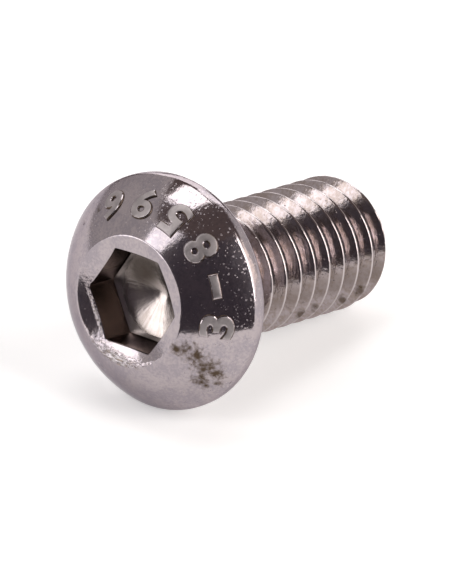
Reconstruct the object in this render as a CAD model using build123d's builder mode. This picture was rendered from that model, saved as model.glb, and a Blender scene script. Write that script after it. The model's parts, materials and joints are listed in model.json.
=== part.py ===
from build123d import *
from math import asin, atan2, cos, hypot, radians, sin, tan
import os

# Button head screw, M6 x 12: one piece of stainless steel, forged and then thread-rolled.
# Lengths are in millimetres and angles in degrees. The screw is drawn upright, with its
# bearing face on Z = 0, the head above and the shank below. It is then laid down on its
# rim and its tip, as it comes to rest on a table.

# Head
head_diameter = 10.3
head_height = 3.12
rim_height = 0.88
rim_edge_radius = 0.12
under_edge_radius = 0.55

# Hexagon socket
mouth_diameter = 5.7
mouth_edge_radius = 0.05
countersink_angle = 150
socket_across_flats = 4.1
socket_corner_radius = 0.15
socket_wall_depth = 1.82
socket_turn = 31
floor_bevel = 0.15
floor_bevel_angle = 45
floor_land = 0.08
floor_angle = 150

# Shank and thread. The crests lie a little inside the basic diameter, so that a nut turns
# freely, and the thread has the metric proportions: of the height of its sharp V, an
# eighth is cut off at the crests of the basic form and a sixth at the roots.
basic_diameter = 6
crest_allowance = 0.06
pitch = 1.0
flank_angle = 30
crest_share = 1 / 8
root_share = 1 / 6
crest_place = 0.83
length = 11.85
tip_chamfer_length = 0.9
tip_chamfer_depth = 0.7
neck_length = 1.2
neck_fillet = 0.3
run_out = 0.5
root_run_out = 0.25
cutter_overrun = 0.04

head_radius = head_diameter / 2
mouth_radius = mouth_diameter / 2
basic_radius = basic_diameter / 2
crest_radius = basic_radius - crest_allowance

# The neck keeps the diameter of the rolled blank, which is the pitch diameter: there the
# groove is as wide as the ridge.
sharp_height = pitch / 2 / tan(radians(flank_angle))
neck_radius = basic_radius - sharp_height * (1 / 2 - crest_share)
root_radius = basic_radius - sharp_height * (1 - crest_share - root_share)

os.makedirs("parts", exist_ok=True)

# One turn of the groove: two flanks and the flat root between them. The cutter stands
# a little proud of the crests.
root_half_width = sharp_height * root_share * tan(radians(flank_angle))
cutter_radius = crest_radius + cutter_overrun
cutter_half_width = root_half_width + (cutter_radius - root_radius) * tan(radians(flank_angle))

with BuildPart() as groove_turn:
    with BuildLine() as turn_path:
        Helix(pitch=pitch, height=pitch, radius=root_radius)
    with BuildSketch(Plane.XZ):
        with BuildLine():
            Polyline(
                (root_radius, root_half_width),
                (root_radius, -root_half_width),
                (cutter_radius, -cutter_half_width),
                (cutter_radius, cutter_half_width),
                close=True,
            )
        make_face()
    sweep(path=turn_path.wires()[0], is_frenet=True)

# The rolled shank, with the groove repeated from beyond its tip to inside the neck.
# Towards the head the crests sink to the neck, and a little later the roots rise to it.
crest_slope = (crest_radius - neck_radius) / run_out
shank_top = (neck_radius - root_radius) / crest_slope - neck_length
turn_count = int(length / pitch) + 2
lowest_turn = pitch / 2 - crest_place - turn_count * pitch

with BuildPart() as shank:
    with BuildSketch(Plane.XZ):
        with BuildLine():
            Polyline(
                (0, shank_top),
                (root_radius, shank_top),
                (crest_radius, -neck_length - run_out),
                (crest_radius, tip_chamfer_length - length),
                (crest_radius - tip_chamfer_depth, -length),
                (0, -length),
                close=True,
            )
        make_face()
    revolve(axis=Axis.Z)
    with Locations([(0, 0, lowest_turn + turn * pitch) for turn in range(turn_count)]):
        add(groove_turn.part, mode=Mode.SUBTRACT)

# The dome is part of a sphere centred on the axis, from the rim to the mouth of the socket.
dome_centre = (mouth_radius**2 - head_radius**2) / (head_height - rim_height) / 2
dome_centre += (head_height + rim_height) / 2
dome_radius = hypot(mouth_radius, head_height - dome_centre)

# The core runs down into the thread as a cone, which ends under the roots.
core_end = -neck_length - root_run_out
cone_end = core_end - 2 * run_out
cone_end_radius = neck_radius - 2 * (neck_radius - root_radius)

with BuildPart() as upright_screw:
    # Head, neck and core, as one outline
    with BuildSketch(Plane.XZ) as outline:
        with BuildLine():
            Polyline(
                (mouth_radius, head_height),
                (0, head_height),
                (0, cone_end),
                (cone_end_radius, cone_end),
                (neck_radius, core_end),
                (neck_radius, 0),
                (head_radius, 0),
                (head_radius, rim_height),
            )
            RadiusArc((mouth_radius, head_height), (head_radius, rim_height), dome_radius)
        make_face()
        fillet(outline.vertices().sort_by_distance((neck_radius, 0))[0], radius=neck_fillet)
        fillet(outline.vertices().sort_by_distance((head_radius, 0))[0], radius=under_edge_radius)
        fillet(outline.vertices().sort_by_distance((head_radius, rim_height))[0], radius=rim_edge_radius)
    revolve(axis=Axis.Z)
    add(shank.part)

    # Countersink round the mouth of the socket
    countersink_depth = mouth_radius / tan(radians(countersink_angle / 2))
    with BuildSketch(Plane.XZ):
        with BuildLine():
            Polyline(
                (0, head_height - countersink_depth),
                (mouth_radius, head_height),
                (0, head_height),
                close=True,
            )
        make_face()
    revolve(axis=Axis.Z, mode=Mode.SUBTRACT)
    mouth_edge = edges().filter_by(GeomType.CIRCLE).sort_by(Axis.Z)[-1]
    fillet(mouth_edge, radius=mouth_edge_radius)

    # The hexagon, the bevel where its walls meet the floor, and the punch's blunt point
    flat_radius = socket_across_flats / 2
    wall_foot = head_height - socket_wall_depth
    floor_height = wall_foot - floor_bevel
    point_radius = flat_radius - floor_bevel / tan(radians(floor_bevel_angle)) - floor_land
    point_depth = point_radius / tan(radians(floor_angle / 2))
    with BuildSketch(Plane.XY.offset(wall_foot)) as hexagon:
        RegularPolygon(flat_radius, side_count=6, major_radius=False, rotation=socket_turn)
        fillet(hexagon.vertices(), radius=socket_corner_radius)
    extrude(amount=socket_wall_depth, mode=Mode.SUBTRACT)
    extrude(hexagon.sketch, amount=-floor_bevel, taper=90 - floor_bevel_angle, mode=Mode.SUBTRACT)
    with BuildSketch(Plane.XZ):
        with BuildLine():
            Polyline(
                (0, floor_height - point_depth),
                (point_radius, floor_height),
                (0, floor_height),
                close=True,
            )
        make_face()
    revolve(axis=Axis.Z, mode=Mode.SUBTRACT)

# Laid down, the screw touches the table with the rounded under edge of its head and with
# the corner where its tip is chamfered. The shank's upper side is the drawing's +X.
rim_centre_radius = head_radius - under_edge_radius
rest_span = under_edge_radius + length - tip_chamfer_length
rest_rise = rim_centre_radius - crest_radius
rest_tilt = atan2(rest_rise, rest_span) + asin(under_edge_radius / hypot(rest_rise, rest_span))
rim_centre_drop = rim_centre_radius * cos(rest_tilt) - under_edge_radius * sin(rest_tilt)
towards_head = (-cos(rest_tilt), 0, sin(rest_tilt))
upper_side = (sin(rest_tilt), 0, cos(rest_tilt))
lying = Plane(
    origin=(0, 0, rim_centre_drop + under_edge_radius),
    x_dir=upper_side,
    z_dir=towards_head,
)

with BuildPart(lying) as lying_screw:
    add(upright_screw.part)

# The origin is on the table, under the middle of the screw.
middle = lying_screw.part.bounding_box().center()

with BuildPart(Plane((-middle.X, 0, 0))) as button_head_screw:
    add(lying_screw.part)

button_head_screw.part.label = "button_head_screw"
export_step(button_head_screw.part, "parts/button_head_screw.step")
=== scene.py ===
import json
from math import atan, atan2, ceil, cos, hypot, pi, radians, sin, sqrt, tan, tau

import bmesh
import bpy
from mathutils import Matrix, Vector, noise


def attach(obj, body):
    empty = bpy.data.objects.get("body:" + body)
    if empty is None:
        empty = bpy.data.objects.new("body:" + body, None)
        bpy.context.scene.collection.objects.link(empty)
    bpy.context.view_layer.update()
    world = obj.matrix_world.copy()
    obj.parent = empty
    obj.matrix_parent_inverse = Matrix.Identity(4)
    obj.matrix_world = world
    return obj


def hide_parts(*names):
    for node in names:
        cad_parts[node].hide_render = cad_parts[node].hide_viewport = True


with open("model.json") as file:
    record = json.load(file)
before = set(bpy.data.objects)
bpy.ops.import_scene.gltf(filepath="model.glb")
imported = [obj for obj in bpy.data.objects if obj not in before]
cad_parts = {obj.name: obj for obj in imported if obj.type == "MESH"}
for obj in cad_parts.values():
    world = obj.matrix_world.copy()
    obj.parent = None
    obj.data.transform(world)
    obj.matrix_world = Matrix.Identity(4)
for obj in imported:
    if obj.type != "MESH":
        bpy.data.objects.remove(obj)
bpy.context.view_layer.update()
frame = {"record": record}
bpy.ops.object.select_all(action="DESELECT")

# ---------------------------------------------------------------------------------------
# The head. It is cold-forged from wire in one stroke: a dome over a thin rim, with a
# hexagon socket punched into it. It is turned here from one outline, drawn upright in
# millimetres with the bearing face on Z = 0, and its socket is then pressed to six sides.
# ---------------------------------------------------------------------------------------
head_radius = 5.15
head_height = 3.12
rim_height = 0.88
rim_edge_radius = 0.45
under_edge_radius = 0.55
mouth_radius = 2.85
mouth_edge_radius = 0.15
countersink_slope = tan(radians(15))
flat_radius = 2.05
hexagon_edge = 0.04
corner_radius = 0.12
off_centre = -0.07
socket_turn = radians(31)
wall_foot = 1.30
floor_bevel = 0.15
floor_land = 0.08
floor_slope = tan(radians(15))
neck_radius = 2.6752
neck_fillet = 0.3
neck_joint = 1.0
head_steps = 384
join_distance = 0.0005
slack = 0.001


def start_outline(name, radius, height):
    """Leaves one selected vertex in edit mode, from which an outline is extruded."""
    bpy.ops.object.select_all(action="DESELECT")
    bpy.ops.mesh.primitive_plane_add(size=1)
    piece = bpy.context.object
    piece.name = name
    bpy.ops.object.mode_set(mode="EDIT")
    bpy.ops.mesh.merge(type="CENTER")
    bpy.ops.transform.translate(value=(radius, 0, height))
    return piece


def pen(piece):
    """The outline's selected end."""
    mesh = bmesh.from_edit_mesh(piece.data)
    return next(vertex for vertex in mesh.verts if vertex.select).co.copy()


def line_to(piece, radius, height, steps=1):
    """Draws the outline on in a straight line, in equal steps."""
    step = (Vector((radius, 0, height)) - pen(piece)) / steps
    for _ in range(steps):
        bpy.ops.mesh.extrude_vertices_move(TRANSFORM_OT_translate={"value": step})


def arc_to(piece, radius, height, centre_radius, centre_height, steps):
    """Draws the outline on along an arc, the short way round its centre."""
    start = pen(piece)
    centre = Vector((centre_radius, 0, centre_height))
    reach = hypot(start.x - centre.x, start.z - centre.z)
    first = atan2(start.z - centre.z, start.x - centre.x)
    last = atan2(height - centre.z, radius - centre.x)
    turn = (last - first + pi) % tau - pi
    for step in range(1, steps + 1):
        angle = first + turn * step / steps
        spot = centre + reach * Vector((cos(angle), 0, sin(angle)))
        bpy.ops.mesh.extrude_vertices_move(TRANSFORM_OT_translate={"value": spot - pen(piece)})


def cone_height(radius):
    """Height of the countersink at a distance from the axis."""
    return head_height - (mouth_radius - radius) * countersink_slope


# The dome is part of a sphere from the mouth to the rim.
dome_centre = (mouth_radius**2 - head_radius**2) / (head_height - rim_height) / 2
dome_centre += (head_height + rim_height) / 2
dome_radius = hypot(mouth_radius, head_height - dome_centre)

# Where the mouth's rounded edge leaves the countersink and meets the dome, found in a few rounds
edge_slope = atan(countersink_slope)
edge_centre_radius = mouth_radius
reach = dome_radius - mouth_edge_radius
for _ in range(8):
    edge_centre_height = cone_height(edge_centre_radius) - mouth_edge_radius / cos(edge_slope)
    edge_centre_radius = sqrt(reach**2 - (edge_centre_height - dome_centre) ** 2)
edge_start_radius = edge_centre_radius - mouth_edge_radius * sin(edge_slope)
dome_start = atan2(edge_centre_height - dome_centre, edge_centre_radius)
dome_start_radius = dome_radius * cos(dome_start)
dome_start_height = dome_centre + dome_radius * sin(dome_start)

# Where the dome ends and the round of the rim begins
rim_centre_radius = head_radius - rim_edge_radius
rim_centre_height = dome_centre + sqrt((dome_radius - rim_edge_radius) ** 2 - rim_centre_radius**2)
dome_end = atan2(rim_centre_height - dome_centre, rim_centre_radius)
dome_end_radius = dome_radius * cos(dome_end)
dome_end_height = dome_centre + dome_radius * sin(dome_end)

floor_height = wall_foot - floor_bevel
point_radius = flat_radius - floor_bevel - floor_land
under_centre_radius = head_radius - under_edge_radius
neck_round_radius = neck_radius + neck_fillet

# The outline, from the point of the socket's floor over the dome to the neck
head = start_outline("screw", 0, floor_height - point_radius * floor_slope)
line_to(head, point_radius, floor_height, steps=5)
line_to(head, flat_radius - floor_bevel, floor_height)
line_to(head, flat_radius, wall_foot, steps=3)
line_to(head, flat_radius, cone_height(flat_radius) - hexagon_edge, steps=14)
line_to(head, flat_radius + hexagon_edge, cone_height(flat_radius + hexagon_edge), steps=2)
line_to(head, edge_start_radius, cone_height(edge_start_radius), steps=11)
arc_to(head, dome_start_radius, dome_start_height, edge_centre_radius, edge_centre_height, steps=4)
arc_to(head, dome_end_radius, dome_end_height, 0, dome_centre, steps=48)
arc_to(head, head_radius, rim_centre_height, rim_centre_radius, rim_centre_height, steps=6)
line_to(head, head_radius, under_edge_radius, steps=2)
arc_to(head, under_centre_radius, 0, under_centre_radius, under_edge_radius, steps=9)
line_to(head, neck_round_radius, 0, steps=5)
arc_to(head, neck_radius, -neck_fillet, neck_round_radius, -neck_fillet, steps=5)
line_to(head, neck_radius, -neck_joint, steps=3)
bpy.ops.mesh.select_all(action="SELECT")
bpy.ops.mesh.spin(steps=head_steps, angle=tau, center=(0, 0, 0), axis=(0, 0, 1))


def weld():
    """Joins points that meet, turns the faces outwards and leaves edit mode."""
    bpy.ops.mesh.select_all(action="SELECT")
    bpy.ops.mesh.remove_doubles(threshold=join_distance)
    bpy.ops.mesh.normals_make_consistent(inside=False)
    bpy.ops.object.mode_set(mode="OBJECT")


weld()


def hexagon_reach(angle):
    """Distance from the axis to the socket's wall, where its corners are slightly round."""
    from_corner = (angle - socket_turn + pi / 6) % (pi / 3) - pi / 6
    round_centre = (flat_radius - corner_radius) / cos(pi / 6)
    round_share = pi / 6 - atan((flat_radius - corner_radius) * tan(pi / 6) / flat_radius)
    if abs(from_corner) < round_share:
        across = round_centre * sin(from_corner)
        return round_centre * cos(from_corner) + sqrt(corner_radius**2 - across**2)
    return flat_radius / cos(pi / 6 - abs(from_corner))


def share_between(value, low, high):
    """0 at the low end, 1 at the high end, and even between them."""
    return min(1, max(0, (value - low) / (high - low)))


# The round bore is pressed out to the hexagon, and the edge of the countersink follows it.
# The punch stood a little off the axis, towards -Y.
for vertex in head.data.vertices:
    radius = hypot(vertex.co.x, vertex.co.y)
    angle = atan2(vertex.co.y, vertex.co.x)
    if radius > edge_start_radius or vertex.co.z < slack:
        continue
    growth = hexagon_reach(angle) - flat_radius
    countersink_share = share_between(radius, mouth_radius, flat_radius)
    wall_share = share_between(vertex.co.z, wall_foot, cone_height(flat_radius) - hexagon_edge)
    if radius < point_radius + slack:
        growth = 0
    elif radius < flat_radius + slack:
        growth *= radius / flat_radius
        vertex.co.z += wall_share * growth * countersink_slope
    else:
        growth *= countersink_share
    if radius > point_radius + slack and vertex.co.z < wall_foot:
        foot_radius = (flat_radius - floor_bevel) * hexagon_reach(angle) / flat_radius
        lift = (foot_radius - point_radius) * floor_slope
        vertex.co.z += lift * (1 - share_between(vertex.co.z, floor_height, wall_foot))
    vertex.co.x += growth * cos(angle)
    vertex.co.y += growth * sin(angle) + off_centre * countersink_share
    if radius > flat_radius + hexagon_edge / 2 + slack:
        vertex.co.z = cone_height(hypot(vertex.co.x, vertex.co.y))
    elif radius > flat_radius + slack:
        vertex.co.z += growth * countersink_slope

# ---------------------------------------------------------------------------------------
# The shank. Its thread is rolled: flat dies press the roots in and push the crests up, so
# roots and crests are smooth, the neck keeps the diameter of the wire, and the last crests
# sink into the chamfered tip.
# ---------------------------------------------------------------------------------------
crest_radius = 2.94
pitch = 1.0
flank_angle = radians(30)
crest_place = 0.83
crest_edge = 0.036
root_radius = 2.3866
root_round = 0.24
length = 11.85
tip_chamfer_length = 0.9
tip_chamfer_depth = 0.7
neck_length = 1.2
run_out = 0.5
root_run_out = 0.25
thread_steps = 144

# One pitch of the thread, from the middle of a crest to the middle of the next
round_centre = root_radius + root_round
flank_foot_radius = round_centre - root_round * sin(flank_angle)
flank_foot_height = root_round * cos(flank_angle)
crest_corner_height = flank_foot_height + (crest_radius - flank_foot_radius) * tan(flank_angle)
shank = start_outline("shank", crest_radius, pitch / 2)
line_to(shank, crest_radius, crest_corner_height)
line_to(shank, flank_foot_radius, flank_foot_height, steps=4)
arc_to(shank, flank_foot_radius, -flank_foot_height, round_centre, 0, steps=8)
line_to(shank, crest_radius, -crest_corner_height, steps=4)
line_to(shank, crest_radius, -pitch / 2)
bpy.ops.mesh.select_all(action="DESELECT")
outline = bmesh.from_edit_mesh(shank.data)
for vertex in outline.verts:
    at_corner = abs(abs(vertex.co.z) - crest_corner_height) < slack / 10
    vertex.select = at_corner and vertex.co.x > crest_radius - slack / 10
bmesh.update_edit_mesh(shank.data)
bpy.ops.mesh.bevel(offset=crest_edge, segments=4, profile=0.5, affect="VERTICES")
bpy.ops.object.mode_set(mode="OBJECT")
turns = ceil(length / pitch) + 2
lowest_turn = pitch / 2 - crest_place - turns * pitch + pitch
shank.data.transform(Matrix.Translation((0, 0, lowest_turn)))
screw_thread = shank.modifiers.new("rolled thread", "SCREW")
screw_thread.angle = tau
screw_thread.screw_offset = pitch
screw_thread.iterations = turns
screw_thread.steps = thread_steps
screw_thread.render_steps = thread_steps
screw_thread.use_merge_vertices = True
bpy.ops.object.modifier_apply(modifier=screw_thread.name)
bpy.ops.object.mode_set(mode="EDIT")
weld()

# The dies end at the neck, and the blank is chamfered at its tip.
for vertex in shank.data.vertices:
    depth = -vertex.co.z
    radius = hypot(vertex.co.x, vertex.co.y)
    run = share_between(depth, neck_length, neck_length + run_out)
    root_run = share_between(depth, neck_length, neck_length + root_run_out)
    tip_run = max(0, (depth - length) / tip_chamfer_length + 1)
    highest = neck_radius + run * (crest_radius - neck_radius) - tip_run * tip_chamfer_depth
    lowest = neck_radius + root_run * (root_radius - neck_radius)
    turned = min(highest, max(lowest, radius))
    vertex.co.x *= turned / radius
    vertex.co.y *= turned / radius

cut_slack = 0.00001
bpy.ops.object.mode_set(mode="EDIT")
for height, above in ((-neck_joint, True), (-length, False)):
    bpy.ops.mesh.select_all(action="SELECT")
    bpy.ops.mesh.bisect(
        plane_co=(0, 0, height),
        plane_no=(0, 0, 1),
        threshold=cut_slack,
        clear_outer=above,
        clear_inner=not above,
        use_fill=not above,
    )
bpy.ops.mesh.select_all(action="DESELECT")
bpy.ops.object.mode_set(mode="OBJECT")


def select_only(*pieces):
    """Selects these pieces and makes the first one active."""
    bpy.ops.object.select_all(action="DESELECT")
    for piece in pieces:
        piece.select_set(True)
    bpy.context.view_layer.objects.active = pieces[0]


# Head and shank are one piece: the cut neck's two edges are bridged.
select_only(head, shank)
bpy.ops.object.join()
bpy.ops.object.mode_set(mode="EDIT")
bpy.ops.mesh.select_mode(type="EDGE")
bpy.ops.mesh.select_all(action="DESELECT")
bpy.ops.mesh.select_non_manifold(
    extend=False,
    use_wire=False,
    use_multi_face=False,
    use_non_contiguous=False,
    use_verts=False,
)
bpy.ops.mesh.bridge_edge_loops()
bpy.ops.mesh.select_mode(type="VERT")
bpy.ops.mesh.select_all(action="SELECT")
bpy.ops.mesh.normals_make_consistent(inside=False)
bpy.ops.object.mode_set(mode="OBJECT")
screw = head

# The die leaves raised marks round the dome, evenly spaced and with their tops towards the
# socket: plain digits and a bar, a tenth of a millimetre high, with rounded edges.
mark_texts = "3-8596"
mark_first = radians(-91)
mark_spacing = radians(24.4)
mark_from_axis = radians(43.8)
mark_height = 1.55
mark_width = 1.12
bar_width = 0.44
mark_edge = 0.11
mark_swell = 0.015
mark_sunk = 0.02
mark_cell = 0.18
mark_cuts = 5
font_size = 2.2


def flat_mark(character):
    """One mark, flat and in millimetres, centred on the origin with its face up."""
    bpy.ops.object.text_add()
    letter = bpy.context.object
    letter.data.body = character
    letter.data.align_x = "CENTER"
    letter.data.resolution_u = 6
    letter.data.size = font_size
    letter.data.offset = mark_swell
    letter.data.bevel_depth = mark_edge
    letter.data.bevel_resolution = 3
    bpy.ops.object.convert(target="MESH")
    corners = [Vector(corner) for corner in letter.bound_box]
    low = Vector(min(corner[axis] for corner in corners) for axis in range(3))
    high = Vector(max(corner[axis] for corner in corners) for axis in range(3))
    wanted = Vector((mark_width, bar_width if character == "-" else mark_height, 0))
    letter.data.transform(Matrix.Translation(-(low + high) / 2))
    stretch = (wanted.x / (high.x - low.x), wanted.y / (high.y - low.y), 1, 1)
    letter.data.transform(Matrix.Diagonal(stretch))
    bpy.ops.object.mode_set(mode="EDIT")
    bpy.ops.mesh.select_all(action="SELECT")
    bpy.ops.mesh.remove_doubles(threshold=join_distance)
    for normal in ((1, 0, 0), (0, 1, 0)):
        for cut in range(-mark_cuts, mark_cuts + 1):
            bpy.ops.mesh.select_all(action="SELECT")
            cut_place = Vector(normal) * cut * mark_cell
            bpy.ops.mesh.bisect(plane_co=cut_place, plane_no=normal, threshold=cut_slack)
    bpy.ops.mesh.select_all(action="SELECT")
    bpy.ops.mesh.normals_make_consistent(inside=False)
    bpy.ops.object.mode_set(mode="OBJECT")
    return letter


marks = []
for place, character in enumerate(mark_texts):
    bpy.ops.object.select_all(action="DESELECT")
    mark = flat_mark(character)
    for vertex in mark.data.vertices:
        from_axis = mark_from_axis - vertex.co.y / dome_radius
        round_axis = mark_first + place * mark_spacing + vertex.co.x / dome_radius / sin(from_axis)
        out = Vector((sin(from_axis) * cos(round_axis), sin(from_axis) * sin(round_axis), cos(from_axis)))
        vertex.co = Vector((0, 0, dome_centre)) + out * (dome_radius + vertex.co.z - mark_sunk)
    marks.append(mark)
select_only(*marks)
bpy.ops.object.join()
raised = screw.modifiers.new("raised marks", "BOOLEAN")
raised.operation = "UNION"
raised.solver = "MANIFOLD"
raised.object = marks[0]
select_only(screw)
bpy.ops.object.modifier_apply(modifier=raised.name)
bpy.data.objects.remove(marks[0])

# Use has dented the steel a little: the dome's skin is slightly wavy, most of all round the
# marks, and keys and tools have nicked the mouth of the socket, the hexagon and the rim.
wave = 0.006
wave_length = 1.3
ripple = 0.009
ripple_length = 0.42
ripple_radius = 4.1
ripple_reach = 0.75
ripple_side = -0.52
ripple_spread = 1.4
nick = 0.09
nick_length = 0.15
key_side = 2.1
thread_wave = 0.012
thread_wave_rate = 2.2
thread_ripple_rate = 7

# Each dent has a middle, a reach and a depth.
dents = (
    ((-3.6, 1.6, 2.36), 0.3, 0.05),
    ((-2.88, -4.27, 0.9), 0.3, 0.05),
    ((-1.8, -4.24, 1.66), 0.13, 0.03),
    ((-1.03, -4.72, 1.37), 0.12, 0.03),
    ((2.3, 3.6, 2.1), 0.35, 0.04),
    ((3.9, -2.2, 1.9), 0.25, 0.03),
    ((-1.9, 4.55, 1.25), 0.25, 0.05),
    ((-0.4, 4.9, 1.3), 0.3, 0.05),
    ((-3.0, 3.6, 1.5), 0.2, 0.05),
    ((0.45, 4.93, 1.2), 0.35, 0.06),
    ((-1.45, 4.74, 1.15), 0.3, 0.08),
    ((-2.48, 4.29, 1.15), 0.35, 0.08),
    ((-3.25, 3.74, 1.15), 0.3, 0.07),
    ((-4.15, 2.70, 1.15), 0.35, 0.09),
    ((-4.55, 1.95, 1.15), 0.25, 0.06),
)
dome_middle = Vector((0, 0, dome_centre))


def near(value, middle, reach):
    """1 at the middle, and 0 from the reach on."""
    share = max(0, 1 - abs(value - middle) / reach)
    return share * share * (3 - 2 * share)


for vertex in screw.data.vertices:
    place = vertex.co.copy()
    radius = hypot(place.x, place.y)
    angle = atan2(place.y, place.x)
    if place.z < -neck_length:
        turned = share_between(radius, root_radius, crest_radius)
        inward = thread_wave * turned * (1 + noise.noise(place * thread_wave_rate)) / 2
        inward += thread_wave * turned * max(0, noise.noise(place * thread_ripple_rate))
        vertex.co.x -= inward * cos(angle)
        vertex.co.y -= inward * sin(angle)
        continue
    if place.z < rim_height:
        continue
    outward = (place - dome_middle).normalized()
    inward = 0
    if radius > mouth_radius - 0.02:
        marked = near(radius, ripple_radius, ripple_reach) * near(angle, ripple_side, ripple_spread)
        inward += wave * (1 + noise.noise(place / wave_length)) / 2
        inward += ripple * marked * (1 + noise.noise(place / ripple_length)) / 2
        inward *= share_between(radius, head_radius, head_radius - 0.3)
    mouth_worn = near(radius, mouth_radius, 0.14) * share_between(abs(angle), 2.2, 2.5)
    hexagon_worn = near(radius, hexagon_reach(angle), 0.1) * near(angle, key_side, 0.9)
    hexagon_worn *= near(place.z, cone_height(radius), 0.15)
    inward += nick * (mouth_worn + hexagon_worn) * max(0, noise.noise(place / nick_length) - 0.1)
    for middle, reach, depth in dents:
        inward += depth * near((place - Vector(middle)).length, 0, reach)
    vertex.co = place - outward * inward

# Where it is stained: a brown patch on the dome and dark spots along the thread and the rim,
# each with a middle and a reach. Each vertex keeps how stained it is, for the finishes below.
stain_fade = 1.6
stains = (
    ((-1.36, -2.75, 3.00), 0.34),
    ((-1.29, -3.08, 2.82), 0.40),
    ((-1.54, -3.45, 2.50), 0.56),
    ((-2.04, -3.68, 2.11), 0.66),
    ((-2.33, -3.97, 1.67), 0.50),
    ((-2.79, -3.93, 1.39), 0.30),
    ((-2.69, -3.42, 1.96), 0.46),
    ((-3.02, -3.47, 1.67), 0.26),
    ((-1.71, -4.16, 1.75), 0.16),
    ((-0.93, -3.37, 2.70), 0.10),
    ((-1.25, -2.62, -4.66), 0.34),
    ((-1.14, -2.67, -5.54), 0.42),
    ((-1.56, -2.45, -6.89), 0.36),
    ((-1.69, -2.36, -6.25), 0.40),
    ((-1.38, -2.55, -9.88), 0.42),
    ((-1.67, -2.37, -8.97), 0.34),
    ((2.10, 1.90, -3.40), 0.30),
    ((0.60, 2.80, -7.70), 0.26),
    ((3.10, 3.00, 2.10), 0.24),
    ((-1.45, 4.74, 1.15), 0.16),
    ((-2.48, 4.29, 1.15), 0.14),
    ((-3.25, 3.74, 1.15), 0.14),
    ((-4.15, 2.70, 1.15), 0.18),
)
stained = screw.data.attributes.new("stained", "FLOAT", "POINT")
for vertex in screw.data.vertices:
    amount = 0
    for middle, reach in stains:
        distance = (vertex.co - Vector(middle)).length
        amount = max(amount, 1 - distance / reach / stain_fade)
    stained.data[vertex.index].value = max(0, amount)

# How worn it is: keys have scratched the countersink, most of all on one side.
worn_side = 3.0
worn_radius = 2.7
worn_height = 2.7
worn = screw.data.attributes.new("worn", "FLOAT", "POINT")
for vertex in screw.data.vertices:
    radius = hypot(vertex.co.x, vertex.co.y)
    angle = atan2(vertex.co.y, vertex.co.x)
    amount = 0
    if vertex.co.z > worn_height:
        countersink_worn = near(radius, worn_radius, 0.4) * near(angle % tau, worn_side, 0.6)
        hexagon_worn = near(radius, hexagon_reach(angle) + 0.05, 0.12) * near(angle, key_side, 0.8)
        mouth_worn = near(radius, mouth_radius, 0.16) * near(angle % tau, worn_side, 0.9)
        amount = max(countersink_worn, hexagon_worn, mouth_worn)
    worn.data[vertex.index].value = amount

# The finish differs from place to place: the dome and the countersink are polished, the
# socket is as forged, the thread as rolled and the tip as cut. The marks' tops are dull, and
# the steep faces round their feet are painted dark as painted shade.
finish_names = ("polished steel", "forged socket", "rolled thread", "raised tops", "sooty feet", "cut tip")
top_rise = 0.072
marks_inside = 3.2
marks_low = 0.2
steep = 0.8
socket_reach = 2.5
socket_sunk = 0.025
finish_of_face = []
for face in screw.data.polygons:
    place = face.center
    radius = hypot(place.x, place.y)
    from_middle = place - dome_middle
    on_dome = radius > mouth_radius and place.z > rim_height
    if place.z < slack - length:
        finish = "cut tip"
    elif place.z < -neck_length:
        finish = "rolled thread"
    elif on_dome and from_middle.length > dome_radius + top_rise:
        finish = "raised tops"
    # The steep faces round the marks' feet get painted shade, a dark colour where shade falls.
    elif (
        radius > marks_inside
        and place.z > rim_height + marks_low
        and face.normal.dot(from_middle.normalized()) < steep
    ):
        finish = "sooty feet"
    elif radius < socket_reach and 0 < place.z < cone_height(radius) - socket_sunk:
        finish = "forged socket"
    else:
        finish = "polished steel"
    finish_of_face.append(finish_names.index(finish))

# Laid down: the neck's mount says where the axis runs, and the drawing's +X is the upper side.
neck = next(mount for mount in frame["record"]["mounts"] if mount["name"] == "neck")
towards_head = -Vector(neck["axis"]).normalized()
neck_middle = (neck_fillet + neck_length) / 2
millimetres_per_metre = 1000
bearing_centre = Vector(neck["pos_m"]) + towards_head * neck_middle / millimetres_per_metre
across = Vector((0, 1, 0))
upper_side = across.cross(towards_head)
turn = Matrix((upper_side, across, towards_head)).transposed()
to_metres = Matrix.Scale(1 / millimetres_per_metre, 4)
screw.data.transform(Matrix.Translation(bearing_centre) @ turn.to_4x4() @ to_metres)
select_only(screw)
bpy.ops.object.shade_smooth_by_angle(angle=radians(22))


def add_node(tree, kind, inputs=None, **settings):
    """A shader node; an input is a number, a vector, a colour or another node's output."""
    made = tree.nodes.new("ShaderNode" + kind)
    for name, value in settings.items():
        setattr(made, name, value)
    for name, value in (inputs or {}).items():
        if isinstance(value, bpy.types.NodeSocket):
            tree.links.new(value, made.inputs[name])
        else:
            made.inputs[name].default_value = value
    return made


def calculate(tree, operation, *values):
    """The result of a Math node."""
    inputs = dict(enumerate(values))
    return add_node(tree, "Math", inputs, operation=operation).outputs["Value"]


def rescale(tree, value, low, high, new_low=0, new_high=1):
    """Maps a value softly from one range to another, and no further."""
    inputs = {"Value": value, "From Min": low, "From Max": high, "To Min": new_low, "To Max": new_high}
    return add_node(tree, "MapRange", inputs, interpolation_type="SMOOTHSTEP").outputs["Result"]


def blend(tree, share, first, second):
    """A colour between two others."""
    made = add_node(tree, "Mix", {0: share, 6: first, 7: second}, data_type="RGBA")
    return made.outputs[2]


def add_up(tree, total, layers):
    """A number, plus each layer's mask times its amount."""
    for mask, amount in layers:
        total = calculate(tree, "MULTIPLY_ADD", mask, amount, total)
    return total


def start_group(name, inputs, outputs):
    """An empty node group, with its input and output sockets."""
    group = bpy.data.node_groups.new(name, "ShaderNodeTree")
    for socket, kind in inputs.items():
        group.interface.new_socket(socket, in_out="INPUT", socket_type="NodeSocket" + kind)
    for socket in outputs:
        group.interface.new_socket(socket, in_out="OUTPUT", socket_type="NodeSocketFloat")
    given = group.nodes.new("NodeGroupInput").outputs
    result = group.nodes.new("NodeGroupOutput").inputs
    return group, given, result


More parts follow.
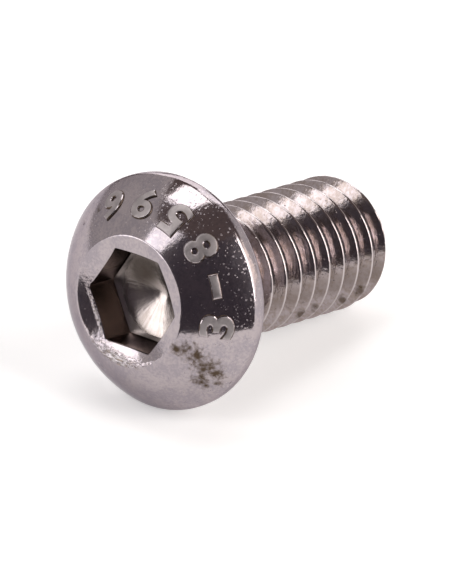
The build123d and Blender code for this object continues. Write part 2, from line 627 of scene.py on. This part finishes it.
# Grain: the fine unevenness of forged steel, its broad cloudiness and its small pits
grain_inputs = {"Place": "Vector", "Fine": "Float", "Broad": "Float", "Pits": "Float", "Pitted": "Float"}
grain, given, result = start_group("steel grain", grain_inputs, ("Fine", "Broad", "Pits"))
fine = add_node(grain, "TexNoise", {"Vector": given["Place"], "Scale": given["Fine"], "Detail": 3})
broad = add_node(grain, "TexNoise", {"Vector": given["Place"], "Scale": given["Broad"], "Detail": 4})
shift = (0.16, 0.16, 0.16)
shifted = {0: fine.outputs["Color"], 1: shift, 2: given["Place"]}
ragged_place = add_node(grain, "VectorMath", shifted, operation="MULTIPLY_ADD").outputs["Vector"]
pits = add_node(grain, "TexVoronoi", {"Vector": ragged_place, "Scale": given["Pits"]})
chance = add_node(grain, "SeparateColor", {"Color": pits.outputs["Color"]}).outputs["Red"]
picked = calculate(grain, "LESS_THAN", chance, given["Pitted"])
pit_reach = calculate(grain, "MULTIPLY_ADD", chance, 0.5, 0.2)
pit_shape = rescale(grain, pits.outputs["Distance"], 0, pit_reach, 1, 0)
grain.links.new(fine.outputs["Fac"], result["Fine"])
grain.links.new(broad.outputs["Fac"], result["Broad"])
grain.links.new(calculate(grain, "MULTIPLY", picked, pit_shape), result["Pits"])

# Residue: brown skin or dirt, which ends in a ragged edge
residue_inputs = {"Place": "Vector", "Amount": "Float", "Clump": "Float"}
residue, given, result = start_group("brown residue", residue_inputs, ("Mask",))
clumps = add_node(residue, "TexNoise", {"Vector": given["Place"], "Scale": given["Clump"], "Detail": 5})
ragged_amount = add_up(residue, given["Amount"], ((clumps.outputs["Fac"], 1.6),))
residue.links.new(rescale(residue, ragged_amount, 1.05, 1.9), result["Mask"])

# Drawn lines: where a die or a punch has dragged over the steel
lines_inputs = {"Place": "Vector", "Stretch": "Vector"}
lines, given, result = start_group("drawn lines", lines_inputs, ("Lines",))
stretched = add_node(lines, "VectorMath", {0: given["Place"], 1: given["Stretch"]}, operation="MULTIPLY")
streaks = add_node(lines, "TexNoise", {"Vector": stretched.outputs["Vector"], "Scale": 1, "Detail": 4})
lines.links.new(streaks.outputs["Fac"], result["Lines"])


edge_tint = (0.62, 0.59, 0.62, 1)


def start_finish(name):
    """A steel, and the place on the drawing, in millimetres, that its patterns follow."""
    material = bpy.data.materials.new(name)
    material.use_nodes = True
    tree = material.node_tree
    shader = tree.nodes["Principled BSDF"]
    shader.inputs["Metallic"].default_value = 1
    shader.inputs["Specular Tint"].default_value = edge_tint
    on_object = add_node(tree, "TexCoord").outputs["Object"]
    drawn = add_node(tree, "Mapping", {"Vector": on_object}, vector_type="TEXTURE")
    drawn.inputs["Location"].default_value = bearing_centre
    drawn.inputs["Rotation"].default_value = turn.to_euler()
    drawn.inputs["Scale"].default_value = (1 / millimetres_per_metre,) * 3
    return tree, shader, drawn.outputs["Vector"]


def place_group(tree, group, inputs):
    """A node group with its own values, and what it puts out."""
    return add_node(tree, "Group", inputs, node_tree=group).outputs


def kept_amount(tree, name):
    """What each vertex keeps under this name."""
    return add_node(tree, "Attribute", attribute_name=name).outputs["Fac"]


def end_finish(tree, shader, colour, roughness, height):
    """Gives the steel its colour, roughness and unevenness, whose height is in millimetres."""
    tree.links.new(colour, shader.inputs["Base Color"])
    tree.links.new(roughness, shader.inputs["Roughness"])
    bump_inputs = {"Strength": 1, "Distance": 1 / millimetres_per_metre, "Height": height}
    bump = add_node(tree, "Bump", bump_inputs)
    tree.links.new(bump.outputs["Normal"], shader.inputs["Normal"])


def beside_axis(tree, place):
    """A place without its height above the bearing face."""
    return add_node(tree, "VectorMath", {0: place, 1: (1, 1, 0)}, operation="MULTIPLY").outputs["Vector"]


def axis_distance(tree, place):
    flat = {0: beside_axis(tree, place)}
    return add_node(tree, "VectorMath", flat, operation="LENGTH").outputs["Value"]


bright_steel = (0.42, 0.37, 0.38, 1)
cloudy_steel = (0.33, 0.295, 0.32, 1)
brown_steel = (0.27, 0.215, 0.185, 1)
scuffed_steel = (0.52, 0.48, 0.49, 1)
# Dark brown: the colour of real stains and dirt, and also of the painted shade round the marks' feet.
dark_stain_and_shade = (0.085, 0.060, 0.042, 1)

# Polished steel: cloudy from handling, with fine dull pits that are thicker towards the rim
tree, shader, place = start_finish("polished steel")
pitted = rescale(tree, axis_distance(tree, place), mouth_radius, rim_centre_radius, 0.12, 0.75)
skin = place_group(tree, grain, {"Place": place, "Fine": 8.0, "Broad": 1.1, "Pits": 7.0, "Pitted": pitted})
swell = add_node(tree, "TexNoise", {"Vector": place, "Scale": 2.8, "Detail": 2}).outputs["Fac"]
stain_amount = kept_amount(tree, "stained")
worn_amount = kept_amount(tree, "worn")
dirt = place_group(tree, residue, {"Place": place, "Amount": stain_amount, "Clump": 5.0})["Mask"]
scuffed = place_group(tree, residue, {"Place": place, "Amount": worn_amount, "Clump": 9.0})["Mask"]
clouded = add_up(tree, 0, ((skin["Broad"], 0.5), (skin["Fine"], 0.5)))
scratches = place_group(tree, lines, {"Place": place, "Stretch": (13, 3, 3)})["Lines"]
scratched = calculate(tree, "MULTIPLY", rescale(tree, scratches, 0.48, 0.62), worn_amount)
cloud = rescale(tree, clouded, 0.40, 0.62)
colour = blend(tree, cloud, bright_steel, cloudy_steel)
colour = blend(tree, calculate(tree, "MULTIPLY", skin["Pits"], 0.25), colour, scuffed_steel)
colour = blend(tree, scuffed, colour, scuffed_steel)
colour = blend(tree, scratched, colour, brown_steel)
colour = blend(tree, dirt, colour, dark_stain_and_shade)
rough_layers = ((skin["Broad"], 0.14), (dirt, 0.30), (scuffed, 0.22), (skin["Pits"], 0.36))
roughness = add_up(tree, 0.05, rough_layers)
height_layers = (
    (skin["Fine"], 0.0022),
    (swell, 0.005),
    (skin["Pits"], -0.003),
    (scuffed, 0.018),
    (scratched, -0.03),
)
height = add_up(tree, 0, height_layers)
end_finish(tree, shader, colour, roughness, height)

# Forged socket: bare steel with two patches of painted shade in dark brown, scuffed at the foot of
# its walls, and with the punch's drag lines down the walls and across the floor
floor_steel = (0.52, 0.46, 0.44, 1)
wall_steel = (0.31, 0.26, 0.235, 1)
shade_dark_brown = (0.03, 0.022, 0.017, 1)
shade_patches = (((0.75, 1.00, 0.90), 1.8), ((-2.05, -0.04, 2.1), 1.5))
tree, shader, place = start_finish("forged socket")
skin = place_group(tree, grain, {"Place": place, "Fine": 6.0, "Broad": 1.4, "Pits": 4.0, "Pitted": 0.3})
down = place_group(tree, lines, {"Place": place, "Stretch": (9, 9, 0.5)})["Lines"]
flat_place = {0: beside_axis(tree, place)}
outward = add_node(tree, "VectorMath", flat_place, operation="NORMALIZE").outputs["Vector"]
across_floor = place_group(tree, lines, {"Place": outward, "Stretch": (9, 9, 0)})["Lines"]
height_now = add_node(tree, "SeparateXYZ", {"Vector": place}).outputs["Z"]
on_wall = rescale(tree, height_now, floor_height - 0.02, floor_height + 0.05)
streak = add_node(tree, "Mix", {0: on_wall, 2: across_floor, 3: down}).outputs[0]
floor_share = rescale(tree, axis_distance(tree, place), 0.2, 2.0, 0.25, 1)
cloud = rescale(tree, calculate(tree, "ADD", streak, skin["Broad"]), 0.8, 1.3, 0, 0.5)
colour = blend(tree, cloud, floor_steel, brown_steel)
colour = blend(tree, on_wall, colour, wall_steel)
at_foot = calculate(tree, "SUBTRACT", height_now, floor_height + floor_bevel * 0.6)
at_foot = calculate(tree, "ABSOLUTE", at_foot)
foot_share = rescale(tree, at_foot, 0.04, 0.09, 0.3, 0)
colour = blend(tree, foot_share, colour, scuffed_steel)
# Each patch is painted shade: dark brown over one side of the floor and over one wall.
for shade_middle, shade_reach in shade_patches:
    away = add_node(tree, "VectorMath", {0: place, 1: shade_middle}, operation="DISTANCE").outputs["Value"]
    away = add_up(tree, away, ((skin["Broad"], 0.5),))
    shade_share = rescale(tree, away, shade_reach / 3, shade_reach, 0.92, 0)
    colour = blend(tree, shade_share, colour, shade_dark_brown)
roughness = add_up(tree, 0.14, ((skin["Broad"], 0.12), (foot_share, 0.4)))
drag = calculate(tree, "MULTIPLY", streak, floor_share)
height = add_up(tree, 0, ((drag, 0.005), (skin["Fine"], 0.004)))
end_finish(tree, shader, colour, roughness, height)

# Rolled thread: bright crests, duller roots, brown clouds, a brown band of painted shade along
# one side, dark spots of dirt, and the dies' lines round the shank
crest_steel = (0.50, 0.45, 0.45, 1)
# Brown for painted shade: the band along the thread's side and the corners round the marks' feet.
painted_shade_brown = (0.13, 0.10, 0.085, 1)
shade_band_place = 0.45
tree, shader, place = start_finish("rolled thread")
reach = axis_distance(tree, place)
skin = place_group(tree, grain, {"Place": place, "Fine": 7.0, "Broad": 1.6, "Pits": 6.0, "Pitted": 0.18})
rolled = place_group(tree, lines, {"Place": place, "Stretch": (1.2, 1.2, 16)})["Lines"]
stain_amount = kept_amount(tree, "stained")
dirt = place_group(tree, residue, {"Place": place, "Amount": stain_amount, "Clump": 5.0})["Mask"]
spots = rescale(tree, stain_amount, 0.45, 0.7, 0, 0.8)
dirt = calculate(tree, "MAXIMUM", dirt, spots)
on_crest = rescale(tree, reach, crest_radius - 0.05, crest_radius - 0.012)
in_root = rescale(tree, reach, root_radius + 0.3, root_radius)
clouded = add_up(tree, 0, ((skin["Broad"], 0.5), (skin["Fine"], 0.5)))
brown = rescale(tree, clouded, 0.38, 0.64, 0.05, 0.75)
colour = blend(tree, brown, bright_steel, brown_steel)
across = add_node(tree, "SeparateXYZ", {"Vector": place}).outputs
# A band of painted shade along the thread, near X = -0.45 mm and on its -Y side.
off_shade_band = calculate(tree, "ABSOLUTE", calculate(tree, "ADD", across["X"], shade_band_place))
shade_band = rescale(tree, off_shade_band, 0.2, 0.9, 0.6, 0)
shade_band = calculate(tree, "MULTIPLY", shade_band, rescale(tree, across["Y"], 0, -1))
colour = blend(tree, shade_band, colour, painted_shade_brown)
colour = blend(tree, on_crest, colour, crest_steel)
colour = blend(tree, dirt, colour, dark_stain_and_shade)
rough_layers = ((skin["Broad"], 0.14), (on_crest, -0.05), (in_root, 0.05), (dirt, 0.2))
roughness = add_up(tree, 0.07, rough_layers)
height = add_up(tree, 0, ((skin["Fine"], 0.006), (rolled, 0.005), (skin["Pits"], -0.006)))
end_finish(tree, shader, colour, roughness, height)

# Raised tops: the polishing wheel has passed over them, and they are still dull
dull_steel = (0.46, 0.42, 0.42, 1)
duller_steel = (0.34, 0.31, 0.31, 1)
tree, shader, place = start_finish("raised tops")
skin = place_group(tree, grain, {"Place": place, "Fine": 9.0, "Broad": 2.0, "Pits": 6.0, "Pitted": 0.3})
cloud = rescale(tree, skin["Broad"], 0.35, 0.65)
colour = blend(tree, cloud, dull_steel, duller_steel)
roughness = add_up(tree, 0.36, ((skin["Fine"], 0.2),))
height = add_up(tree, 0, ((skin["Fine"], 0.008),))
end_finish(tree, shader, colour, roughness, height)

# Shade round the marks: painted shade, a dark colour on the steep faces in the corner round each raised
# mark
tree, shader, place = start_finish("sooty feet")
skin = place_group(tree, grain, {"Place": place, "Fine": 9.0, "Broad": 2.0, "Pits": 6.0, "Pitted": 0.3})
cloud = rescale(tree, skin["Fine"], 0.35, 0.65)
colour = blend(tree, cloud, dark_stain_and_shade, painted_shade_brown)
roughness = add_up(tree, 0.3, ((skin["Fine"], 0.3),))
height = add_up(tree, 0, ((skin["Fine"], 0.008),))
end_finish(tree, shader, colour, roughness, height)

# Cut tip: the wire was sheared and turned flat, which leaves rings round its middle
tree, shader, place = start_finish("cut tip")
skin = place_group(tree, grain, {"Place": place, "Fine": 7.0, "Broad": 1.2, "Pits": 4.0, "Pitted": 0.4})
rings = add_node(tree, "CombineXYZ", {"X": axis_distance(tree, place)}).outputs["Vector"]
turned_lines = place_group(tree, lines, {"Place": rings, "Stretch": (14, 1, 1)})["Lines"]
cloud = rescale(tree, skin["Broad"], 0.35, 0.65)
colour = blend(tree, cloud, bright_steel, brown_steel)
roughness = add_up(tree, 0.2, ((skin["Broad"], 0.2),))
height = add_up(tree, 0, ((turned_lines, 0.012), (skin["Pits"], -0.012)))
end_finish(tree, shader, colour, roughness, height)

screw.data.materials.clear()
for name in finish_names:
    screw.data.materials.append(bpy.data.materials[name])
for face, finish in zip(screw.data.polygons, finish_of_face):
    face.material_index = finish
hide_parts("button_head_screw")
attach(screw, "root")

# ---------------------------------------------------------------------------------------
# The table and the studio: a plain white table that glows a little where it is seen, soft
# boxes round and above the screw, and a black card on the side that faces the room.
# ---------------------------------------------------------------------------------------
table_radius = 4
bpy.ops.mesh.primitive_circle_add(vertices=96, radius=table_radius, fill_type="NGON")
table = bpy.context.object
table.name = "table"
white = bpy.data.materials.new("white table")
white.use_nodes = True
tree = white.node_tree
paper = tree.nodes["Principled BSDF"]
paper.inputs["Base Color"].default_value = (0.8, 0.8, 0.8, 1)
paper.inputs["Roughness"].default_value = 0.9
paper.inputs["Specular IOR Level"].default_value = 0.1
plain = paper.outputs["BSDF"]
glow = add_node(tree, "Emission", {"Color": (1, 1, 1, 1), "Strength": 0.35}).outputs["Emission"]
glowing = add_node(tree, "AddShader", {0: plain, 1: glow}).outputs["Shader"]
path = add_node(tree, "LightPath").outputs
seen = calculate(tree, "MAXIMUM", path["Is Camera Ray"], path["Is Glossy Ray"])
seen = calculate(tree, "MAXIMUM", seen, path["Is Transmission Ray"])
shown = add_node(tree, "MixShader", {0: seen, 1: plain, 2: glowing}).outputs["Shader"]
tree.links.new(shown, tree.nodes["Material Output"].inputs["Surface"])
table.data.materials.append(white)


def towards(azimuth, elevation):
    """Direction from the screw, with azimuth 0 along +X and 90 along +Y."""
    level = cos(radians(elevation))
    return Vector((level * cos(radians(azimuth)), level * sin(radians(azimuth)), sin(radians(elevation))))


lamp_watts = 4


def soft_box(name, azimuth, elevation, distance, width, height, brightness, colour=(1, 1, 1)):
    """A lamp that faces the screw, as wide and as high in degrees as the screw sees it."""
    across = 2 * distance * tan(radians(width / 2))
    high = 2 * distance * tan(radians(height / 2))
    lamp = bpy.data.lights.new(name, "AREA")
    lamp.shape = "RECTANGLE"
    lamp.size = across
    lamp.size_y = high
    lamp.color = colour
    lamp.energy = brightness * lamp_watts * across * high
    box = bpy.data.objects.new(name, lamp)
    bpy.context.scene.collection.objects.link(box)
    box.location = towards(azimuth, elevation) * distance
    box.rotation_euler = (-box.location).to_track_quat("-Z", "Y").to_euler()
    box.visible_camera = False


soft_box("top", 70, 76, 0.6, 30, 24, 2.4)
soft_box("back", 38, 22, 0.6, 32, 32, 1.5)
soft_box("back_strip", 13, 42, 0.6, 14, 42, 1.8)
soft_box("front_left_high", 162, 44, 0.6, 24, 34, 1.9)
soft_box("front_left_low", 149, 10, 0.6, 26, 18, 2.1)
soft_box("left_wall", 106, 29, 0.7, 86, 60, 0.37)
soft_box("right_strip", -89, 27, 0.6, 18, 50, 5.0, (1, 0.97, 0.95))
soft_box("right", -70, 27, 0.6, 20, 50, 1.8, (1, 0.95, 0.90))
soft_box("front_right", -47, 18, 0.6, 24, 34, 1.3, (1, 0.90, 0.80))
soft_box("front_wall", -14, 15, 0.7, 42, 30, 0.5)

room_colour = (0.15, 0.115, 0.11, 1)
world = bpy.data.worlds.new("studio")
world.use_nodes = True
world.node_tree.nodes["Background"].inputs["Color"].default_value = room_colour
bpy.context.scene.world = world

# A black card stands close on the side that faces the room. At one end it bends away and is
# lower. Only the metal's reflections show it, as a dark band across the dome and the thread.
card_first = radians(163.5)
card_bend = radians(184)
card_last = radians(258)
card_reach = 0.022
card_height = 0.034
card_low_end = radians(32)
card_farther = 1.1
card_lift = 0.00005
bpy.ops.object.select_all(action="DESELECT")
bpy.ops.mesh.primitive_circle_add(vertices=144, radius=card_reach, location=(0, 0, card_lift))
card = bpy.context.object
card.name = "black_card"
bpy.ops.object.transform_apply(location=True)
bpy.ops.object.mode_set(mode="EDIT")
bpy.ops.mesh.select_all(action="DESELECT")
ring = bmesh.from_edit_mesh(card.data)
for vertex in ring.verts:
    vertex.select = not card_first <= atan2(vertex.co.y, vertex.co.x) % tau <= card_last
bmesh.update_edit_mesh(card.data)
bpy.ops.mesh.delete(type="VERT")
bpy.ops.mesh.select_all(action="SELECT")
bpy.ops.mesh.extrude_edges_move(TRANSFORM_OT_translate={"value": (0, 0, card_height)})
bpy.ops.object.mode_set(mode="OBJECT")
high_end = atan(card_height / card_reach)
for vertex in card.data.vertices:
    angle = atan2(vertex.co.y, vertex.co.x) % tau
    near_high_end = share_between(angle, card_first, card_bend)
    away = 1 + card_farther * (1 - near_high_end)
    if vertex.co.z > card_height / 2:
        top = card_low_end + (high_end - card_low_end) * near_high_end
        vertex.co.z = card_reach * away * tan(top)
    vertex.co.x *= away
    vertex.co.y *= away
black_paper = bpy.data.materials.new("black paper")
black_paper.use_nodes = True
paper = black_paper.node_tree.nodes["Principled BSDF"]
paper.inputs["Base Color"].default_value = (0.07, 0.06, 0.075, 1)
paper.inputs["Roughness"].default_value = 0.9
card.data.materials.append(black_paper)
card.visible_camera = False
card.visible_diffuse = False
card.visible_shadow = False
card.visible_transmission = False

# The camera looks down on the head.
camera_data = bpy.data.cameras.new("camera")
camera_data.sensor_fit = "VERTICAL"
camera_data.sensor_height = 36
camera_data.lens = 723.19
camera_data.clip_start = 0.01
camera = bpy.data.objects.new("camera", camera_data)
bpy.context.scene.collection.objects.link(camera)
camera.location = (-0.3470045, -0.2826847, 0.2343531)
camera.rotation_euler = (radians(62.6716), radians(0.2464), radians(-50.8991))
bpy.context.scene.camera = camera
bpy.context.scene.view_settings.view_transform = "Standard"
